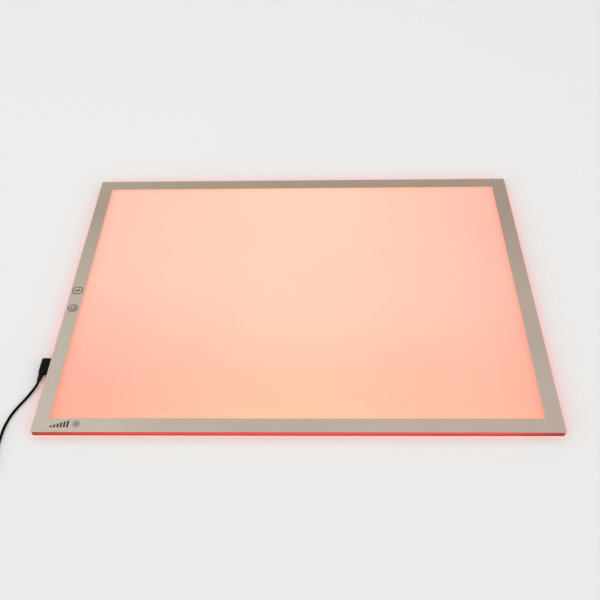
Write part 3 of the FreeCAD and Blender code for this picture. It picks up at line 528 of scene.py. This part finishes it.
def make_piece(name, body, slot, material, vertices, faces, stands_for=(), crease=35):
    """A mesh that rides on a body. Edges sharper than the crease stay sharp."""
    mesh = bpy.data.meshes.new(name)
    mesh.from_pydata([tuple(v) for v in vertices], [], faces)
    mesh.update()
    mesh.polygons.foreach_set("use_smooth", [True] * len(mesh.polygons))
    mesh.set_sharp_from_angle(angle=math.radians(crease))
    mesh.materials.append(material)
    made = bpy.data.objects.new(name, mesh)
    bpy.context.scene.collection.objects.link(made)
    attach(made, body)
    if stands_for:
        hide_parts(*stands_for)
    return made


def loft(rings, closed_ends=True):
    """Joins rings of equal length into a skin."""
    count = len(rings[0])
    vertices = [v for ring in rings for v in ring]
    faces = []
    for k in range(len(rings) - 1):
        for i in range(count):
            j = (i + 1) % count
            faces.append((k * count + i, k * count + j, (k + 1) * count + j, (k + 1) * count + i))
    if closed_ends:
        faces.append(tuple(reversed(range(count))))
        last = (len(rings) - 1) * count
        faces.append(tuple(last + i for i in range(count)))
    return vertices, faces


def lathe(profile, start, axis, steps=40):
    """Turns a profile of (distance along, radius) about an axis."""
    axis = Vector(axis).normalized()
    side = axis.orthogonal().normalized()
    other = axis.cross(side)
    rings = []
    for along, radius in profile:
        centre = Vector(start) + axis * along
        angles = [2 * math.pi * k / steps for k in range(steps)]
        rings.append([centre + (side * math.cos(a) + other * math.sin(a)) * radius for a in angles])
    return loft(rings)


def round_rectangle(width, height, radius, corner_steps=6, side_steps=12):
    """Points and outward normals round a rectangle with round corners, anticlockwise."""
    points = []
    right, top = width / 2 - radius, height / 2 - radius
    corners = [(right, -top, -90), (right, top, 0), (-right, top, 90), (-right, -top, 180)]
    for k, (x, y, begin) in enumerate(corners):
        for step in range(corner_steps + 1):
            angle = math.radians(begin + 90 * step / corner_steps)
            normal = Vector((math.cos(angle), math.sin(angle)))
            points.append((Vector((x, y)) + normal * radius, normal))
        after = corners[(k + 1) % 4]
        angle = math.radians(begin + 90)
        normal = Vector((math.cos(angle), math.sin(angle)))
        start = Vector((x, y)) + normal * radius
        finish = Vector(after[:2]) + normal * radius
        for step in range(1, side_steps):
            points.append((start.lerp(finish, step / side_steps), normal))
    return points


def pulse(value, centre, half_width):
    """A smooth bump of height 1 at the centre, zero beyond the half width."""
    share = abs(value - centre) / half_width
    return 0.5 + 0.5 * math.cos(math.pi * share) if share < 1 else 0.0


# ---------------------------------------------------------------- the plugs and sleeves


def moulded_block(low, high, corner, edge, stations, shape, side_steps=14):
    """A soft-cornered block drawn along Y. shape(along, point, normal) gives how far a skin point sinks."""
    width, height = high.x - low.x, high.z - low.z
    centre = (low + high) / 2
    length = high.y - low.y
    quarter = [math.radians(90 * k / 7) for k in range(8)]
    ends = [(corner * (1 - math.cos(a)), 1 - math.sin(a)) for a in quarter]
    middle = [(corner + (length - 2 * corner) * k / stations, 0.0) for k in range(1, stations)]
    tail = [(length - along, inset) for along, inset in reversed(ends)]
    rings = []
    for along, inset in ends + middle + tail:
        ring = []
        for point, normal in round_rectangle(width, height, edge, side_steps=side_steps):
            shrink = Vector((1 - 2 * corner * inset / width, 1 - 2 * edge * inset / height))
            sunk = shape(along, point, normal) * (1 - inset)
            spot = Vector((point.x * shrink.x, point.y * shrink.y)) - normal * sunk
            ring.append((centre.x + spot.x, low.y + along, centre.z + spot.y))
        rings.append(ring)
    return loft([list(reversed(ring)) for ring in rings])


def make_power_plug(material):
    """The right-angle plug's moulded body, with a parting line and three finger grooves outside."""
    low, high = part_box("plug_body")

    def shape(along, point, normal):
        parting = 0.09 * MM * pulse(point.y, 0, 0.3 * MM) if abs(normal.x) > 0.9 else 0
        grooves = sum(pulse(along, place * MM, 0.8 * MM) for place in (10, 12.6, 15.2))
        held = 0.35 * MM * grooves * pulse(point.y, 0, 2.6 * MM) if normal.x < -0.9 else 0
        return parting + held

    skin = moulded_block(low, high, 1.4 * MM, 0.9 * MM, 60, shape)
    return make_piece("power_plug_body", "power_plug", "plug", material, *skin, ["plug_body"])


def make_power_sleeve(material):
    """The stepped sleeve where the lead leaves the plug."""
    finish = Vector(LEAD_ROUTE[0]) * MM
    towards = (finish - Vector(LEAD_ROUTE[1]) * MM).normalized()
    length = 11.8 * MM
    steps = [
        (0.0, 3.4), (2.0, 3.34), (4.6, 3.1), (4.8, 3.0), (4.9, 2.68), (5.6, 2.64), (5.7, 2.95),
        (5.9, 2.98), (7.1, 2.88), (7.3, 2.82), (7.4, 2.5), (8.1, 2.45), (8.2, 2.74), (8.4, 2.76),
        (9.5, 2.68), (9.7, 2.6), (9.8, 2.3), (10.3, 2.27), (10.4, 2.52), (10.6, 2.56), (11.4, 2.5),
        (11.7, 2.35), (11.8, 2.1), (11.8, 1.7),
    ]
    profile = [(along * MM, radius * MM) for along, radius in steps]
    skin = lathe(profile, finish + towards * length, -towards)
    name = "power_plug_sleeve"
    return make_piece(name, "power_plug", "plug", material, *skin, ["plug_strain_relief"], crease=50)


def make_far_plug(material, shell):
    """The plug at the far end: ribbed grip, sleeve and formed metal shell."""
    low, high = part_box("usb_plug_body")
    length = high.y - low.y
    shoulder = 7 * MM

    def shape(along, point, normal):
        taper = 1.7 * MM * (1 - min(1.0, along / shoulder)) ** 2 if abs(normal.x) > 0.3 else 0
        ribs = sum(pulse(along, (9 + 2.4 * k) * MM, 0.75 * MM) for k in range(5))
        held = 0.4 * MM * ribs * pulse(point.y, 0, 3.3 * MM) if abs(normal.x) > 0.9 else 0
        parting = 0.09 * MM * pulse(point.y, 0, 0.3 * MM) if abs(normal.x) > 0.9 else 0
        panel = pulse(along, length * 0.6, 8.5 * MM) ** 0.25 * pulse(point.x, 0, 5 * MM) ** 0.25
        dished = 0.22 * MM * panel if abs(normal.y) > 0.9 else 0
        return abs(normal.x) * taper + held + parting + dished

    skin = moulded_block(low, high, 2 * MM, 1.2 * MM, 80, shape, side_steps=18)
    grip = make_piece("usb_grip", "power_plug", "plug", material, *skin, ["usb_plug_body"])

    sleeve_low, sleeve_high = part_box("usb_strain_relief")
    centre = (sleeve_low + sleeve_high) / 2
    profile = [(-1.0 * MM, 2.9 * MM), (0.0, 3.0 * MM)]
    for k in range(4):
        base = 1.0 + 1.9 * k
        radius = 2.9 - 0.16 * k
        groove = ((0, 0), (0.15, -0.45), (0.85, -0.47), (1, -0.03))
        profile += [((base + along) * MM, (radius + rise) * MM) for along, rise in groove]
    profile += [(8.6 * MM, 2.3 * MM), (8.9 * MM, 2.1 * MM), (9.0 * MM, 1.7 * MM)]
    start = Vector((centre.x, sleeve_high.y, centre.z))
    skin = lathe(profile, start, (0, -1, 0))
    sleeve = make_piece("usb_sleeve", "power_plug", "plug", material, *skin, ["usb_strain_relief"], crease=50)
    return [grip, sleeve, make_far_shell(shell)]


def make_far_shell(material):
    """The far plug's shell: bent sheet with two latch holes above and two below."""
    low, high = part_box("usb_plug_shell")
    centre = (low + high) / 2
    half_x, half_z = (high.x - low.x) / 2, (high.z - low.z) / 2
    radius = 0.7 * MM
    right, top = half_x - radius, half_z - radius
    ring = []
    for side, begin in ((1, 0), (-1, 180)):
        ring += arc((side * right, side * top), radius, begin, begin + 90, 5)
        ring += [(-side * mark * MM, side * half_z) for mark in (-3.4, -1.4, 0, 1.4, 3.4)]
        ring += arc((-side * right, side * top), radius, begin + 90, begin + 180, 5)
    stations = [low.y, high.y - 7 * MM, high.y - 5 * MM, high.y - 0.3 * MM, high.y]
    flare = [0, 0, 0, 0, -0.12 * MM]
    rings = []
    for place, inset in zip(stations, flare):
        shrink = 1 + inset / half_x
        rings.append([(centre.x + x * shrink, place, centre.z + z * shrink) for x, z in reversed(ring)])
    vertices, faces = loft(rings, closed_ends=False)
    wall = 0.3 * MM
    kept = []
    for face in faces:
        spot = sum((Vector(vertices[i]) for i in face), Vector()) / len(face)
        across = abs(spot.x - centre.x)
        hole = abs(spot.y - (high.y - 6 * MM)) < 0.9 * MM and 1.5 * MM < across < 3.3 * MM
        if not (hole and abs(spot.z - centre.z) > half_z - 0.05 * MM):
            kept.append(face)
    made = make_piece("usb_shell", "power_plug", "shell", material, vertices, kept, ["usb_plug_shell"])
    thick = made.modifiers.new("wall", "SOLIDIFY")
    thick.thickness = wall
    thick.offset = -1
    return made


def make_tie(material):
    """A hook-and-loop band drawn round the coil, its end lapped over the top."""
    low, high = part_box("cord_tie")
    coil_low, coil_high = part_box("cord_coil")
    thick = 0.38 * MM
    band_width = 6.6 * MM
    half_y = (high.y - low.y) / 2 - 0.2 * MM
    half_z = (coil_high.z - coil_low.z) / 2
    centre = Vector(((low.x + high.x) / 2, (low.y + high.y) / 2, (coil_low.z + coil_high.z) / 2))
    outline = round_rectangle(2 * half_y, 2 * half_z, 1.9 * MM, corner_steps=8, side_steps=10)
    count = len(outline)
    begin = count * 5 // 8
    lap = 9
    rings = []
    for k in range(count + lap + 1):
        point, normal = outline[(begin + k) % count]
        lift = thick * 1.04 * min(1.0, max(0.0, (k - count + 4) / 4))
        ends = band_width / 2 * (0.86 if k in (0, count + lap) else 1.0)
        ring = []
        for x, out in ((-1, 0), (1, 0), (1, 1), (-1, 1)):
            spot = point + normal * (lift + out * thick)
            ring.append((centre.x + x * ends, centre.y + spot.x, centre.z + spot.y))
        rings.append(ring)
    skin = loft(rings)
    return make_piece("coil_tie", "power_plug", "tie", material, *skin, ["cord_tie"], crease=60)


# ---------------------------------------------------------------- feet and printing


def make_feet(material):
    """Rubber feet with a rounded rim and a dished sole."""
    steps = [(1.3, 5.9), (1.0, 6.0), (0.5, 5.85), (0.2, 5.7), (0.06, 5.5), (0.0, 5.2), (0.0, 4.4),
             (0.12, 4.1), (0.25, 3.0), (0.3, 0.4)]
    for k in range(1, 7):
        low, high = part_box(f"foot_{k}")
        centre = (low + high) / 2
        profile = [(along * MM, radius * MM) for along, radius in steps]
        skin = lathe(profile, (centre.x, centre.y, low.z), (0, 0, 1), steps=48)
        make_piece(f"rubber_foot_{k}", "panel", "foot", material, *skin, [f"foot_{k}"], crease=60)


def ribbon(track, width, closed=False):
    """A flat line of even width through points, as a list of left and right borders."""
    borders = []
    count = len(track)
    for k, spot in enumerate(track):
        before = track[(k - 1) % count] if closed or k else track[0]
        after = track[(k + 1) % count] if closed or k < count - 1 else track[-1]
        run = (after - before).normalized()
        out = Vector((-run.y, run.x)) * width / 2
        borders.append((spot + out, spot - out))
    return borders


def arc(centre, radius, begin, end, steps=40):
    angles = [math.radians(begin + (end - begin) * k / steps) for k in range(steps + 1)]
    return [Vector((centre[0] + radius * math.cos(a), centre[1] + radius * math.sin(a))) for a in angles]


class Print:
    """A thin layer of ink on the bezel, gathered from lines and filled shapes in millimetres."""

    def __init__(self, name, origin):
        self.name = name
        self.origin = Vector(origin)
        self.vertices = []
        self.faces = []

    def fill(self, outline):
        """A solid shape with a closed outline, a hair thick."""
        first = len(self.vertices)
        count = len(outline)
        for level in (0.004, 0.03):
            for spot in outline:
                place = (self.origin + spot) * MM
                self.vertices.append((place.x, place.y, bezel_high.z + level * MM))
        self.faces.append(tuple(first + k for k in reversed(range(count))))
        self.faces.append(tuple(first + count + k for k in range(count)))
        for k in range(count):
            j = (k + 1) % count
            self.faces.append((first + k, first + j, first + count + j, first + count + k))

    def line(self, track, width, closed=False):
        """A line as a run of short filled pieces."""
        borders = ribbon(track, width, closed)
        pairs = list(zip(borders, borders[1:] + borders[:1] if closed else borders[1:]))
        for (left, right), (next_left, next_right) in pairs:
            self.fill([right, next_right, next_left, left])

    def build(self, material):
        made = make_piece(self.name, "panel", None, material, self.vertices, self.faces)
        mesh = bmesh.new()
        mesh.from_mesh(made.data)
        bmesh.ops.remove_doubles(mesh, verts=mesh.verts, dist=0.001 * MM)
        mesh.to_mesh(made.data)
        mesh.free()
        return made


def make_key_marks(ink):
    """The touch keys' marks: a rounded square with a link sign, and a circle with a power sign."""
    mode = Print("mode_key_mark", (-317.8, -3))
    frame_line = [point for point, _ in round_rectangle(13.4, 12.1, 4.4)]
    mode.line(frame_line, 1.3, closed=True)
    tilt = Matrix.Rotation(math.radians(12), 2)
    mode.line([tilt @ Vector((-2.2, 0)), tilt @ Vector((2.2, 0))], 1.4)
    for side in (-1, 1):
        mode.fill(arc(tilt @ Vector((2.2 * side, 0)), 1.5, 0, 360, 24)[:-1])
    mode.build(ink)

    power = Print("power_key_mark", (-317.6, -36.4))
    power.line(arc((0, 0), 6.2, 0, 360, 72)[:-1], 1.3, closed=True)
    power.line(arc((0.7, -0.3), 3.0, 132, 408), 1.5)
    power.line([Vector((0.7, 0.4)), Vector((0.7, 4.0))], 1.5)
    power.build(ink)


def make_level_mark(ink):
    """A plain brightness sign in the near left corner: rising bars and a small sun."""
    bars = Print("level_bars", (-304.8, -231))
    for k in range(6):
        left, height = 4.1 * k, 2.6 + 1.45 * k
        bars.fill([Vector(c) for c in ((left, 0), (left + 2.6, 0), (left + 2.6, height), (left, height))])
    bars.build(ink)
    sun = Print("level_sun", (-272.6, -226.2))
    sun.line(arc((0, 0), 2.2, 0, 360, 40)[:-1], 1.3, closed=True)
    for k in range(8):
        way = Vector((math.cos(math.pi * k / 4), math.sin(math.pi * k / 4)))
        sun.line([way * 3.8, way * 5.4], 1.2)
    sun.build(ink)


# ---------------------------------------------------------------- scene


def make_floor():
    """A wide plain floor."""
    mesh = bpy.data.meshes.new("floor")
    build = bmesh.new()
    bmesh.ops.create_circle(build, cap_ends=True, segments=96, radius=14)
    build.to_mesh(mesh)
    build.free()
    floor = bpy.data.objects.new("floor", mesh)
    bpy.context.scene.collection.objects.link(floor)
    graph = Graph("pale_floor", Roughness=0.9, Specular_IOR_Level=0.1)
    cloud = graph.noise(700 * MM, detail=2)
    graph.surface(Base_Color=graph.ramp(cloud, [(0.3, (0.8, 0.8, 0.785)), (0.7, (0.806, 0.806, 0.79))]))
    mesh.materials.append(graph.material)


def make_light():
    """A pale dome that lights matt surfaces more from in front, and one wide soft light above the panel."""
    world = bpy.data.worlds.new("studio")
    bpy.context.scene.world = world
    world.use_nodes = True
    sky = Nodes(world.node_tree)
    way = sky.add("ShaderNodeTexCoord").outputs["Generated"]
    y, z = sky.add("ShaderNodeSeparateXYZ", Vector=way).outputs[1:]
    bands = [(7, 0.765), (12, 1.5), (24, 1.5), (32, 0.86), (51, 0.86), (54, 0.3)]
    lean = [(7, 0), (12, 1.35), (24, 1.35), (32, 0)]
    even, front = (
        sky.ramp(z, [(math.sin(math.radians(height)), tone) for height, tone in steps])
        for steps in (bands, lean)
    )
    ray = sky.add("ShaderNodeLightPath").outputs
    mirrored = sky.math("MAXIMUM", ray["Is Camera Ray"], ray["Is Glossy Ray"])
    shift = sky.math("MULTIPLY", y, sky.math("MULTIPLY", front, sky.math("SUBTRACT", 1, mirrored)))
    sky.set(sky.tree.nodes["Background"], Color=sky.math("SUBTRACT", even, shift), Strength=1.1)

    box = bpy.data.lights.new("softbox", "AREA")
    box.shape = "RECTANGLE"
    box.size = 3.6
    box.size_y = 2.2
    box.energy = 21.5
    lamp = bpy.data.objects.new("softbox", box)
    lamp.location = (-0.4, 0.12, 2.8)
    bpy.context.scene.collection.objects.link(lamp)
    bpy.context.scene.view_settings.view_transform = "Standard"


make_camera()
lead = make_lead(cord_material())
black = moulded("black_moulding", (0.0095, 0.0095, 0.0088), roughness=0.5, grain=0.3 * MM,
                Specular_IOR_Level=0.015)
finish = dress_nodes(black)
band = make_tie(tie_material())
plug_pieces = [make_power_plug(black), make_power_sleeve(black), band]
plug_pieces += make_far_plug(black, finish["shell"])
plug_pieces += [nodes[name] for name in ("usb_tongue", "usb_contacts")]
make_feet(finish["foot"])
dark_ink = moulded("dark_ink", (0.028, 0.021, 0.018), roughness=0.6, grain=0.2 * MM)
make_key_marks(dark_ink)
make_level_mark(dark_ink)
make_floor()
make_light()
